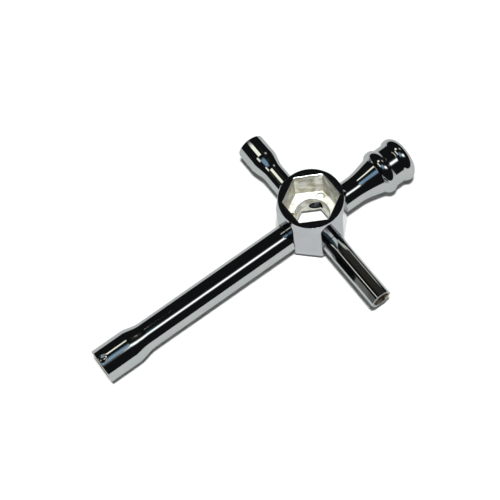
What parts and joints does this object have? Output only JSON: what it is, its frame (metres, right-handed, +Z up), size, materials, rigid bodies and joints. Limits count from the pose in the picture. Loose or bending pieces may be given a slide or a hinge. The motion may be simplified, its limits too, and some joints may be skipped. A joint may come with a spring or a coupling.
{
  "type": "cross-shaped lug wrench",
  "caption": "Small cross-shaped lug wrench: an octagonal hub with hex sockets above and below, and chromed socket arms at right angles, the longest of them the lever.",
  "frame": {"origin": "the middle of the wrench's length and width, level with its lowest point, which is the underside of the beads", "axes": "+X along the beaded arm and away from the long arm, +Y along the short round arm, +Z up along the hub's axis, out of the large socket"},
  "size_m": [0.129, 0.0754, 0.0244],
  "materials": {
    "plated_casting": "bright chrome outside, satin as-cast inside the sockets",
    "chrome_plate": "bright polished chrome"
  },
  "bodies": {
    "root": {"hub": "plated_casting", "long_socket_arm": "chrome_plate", "beaded_socket_arm": "chrome_plate", "round_socket_arm": "chrome_plate", "hex_socket_arm": "chrome_plate"}
  },
  "joints": []
}
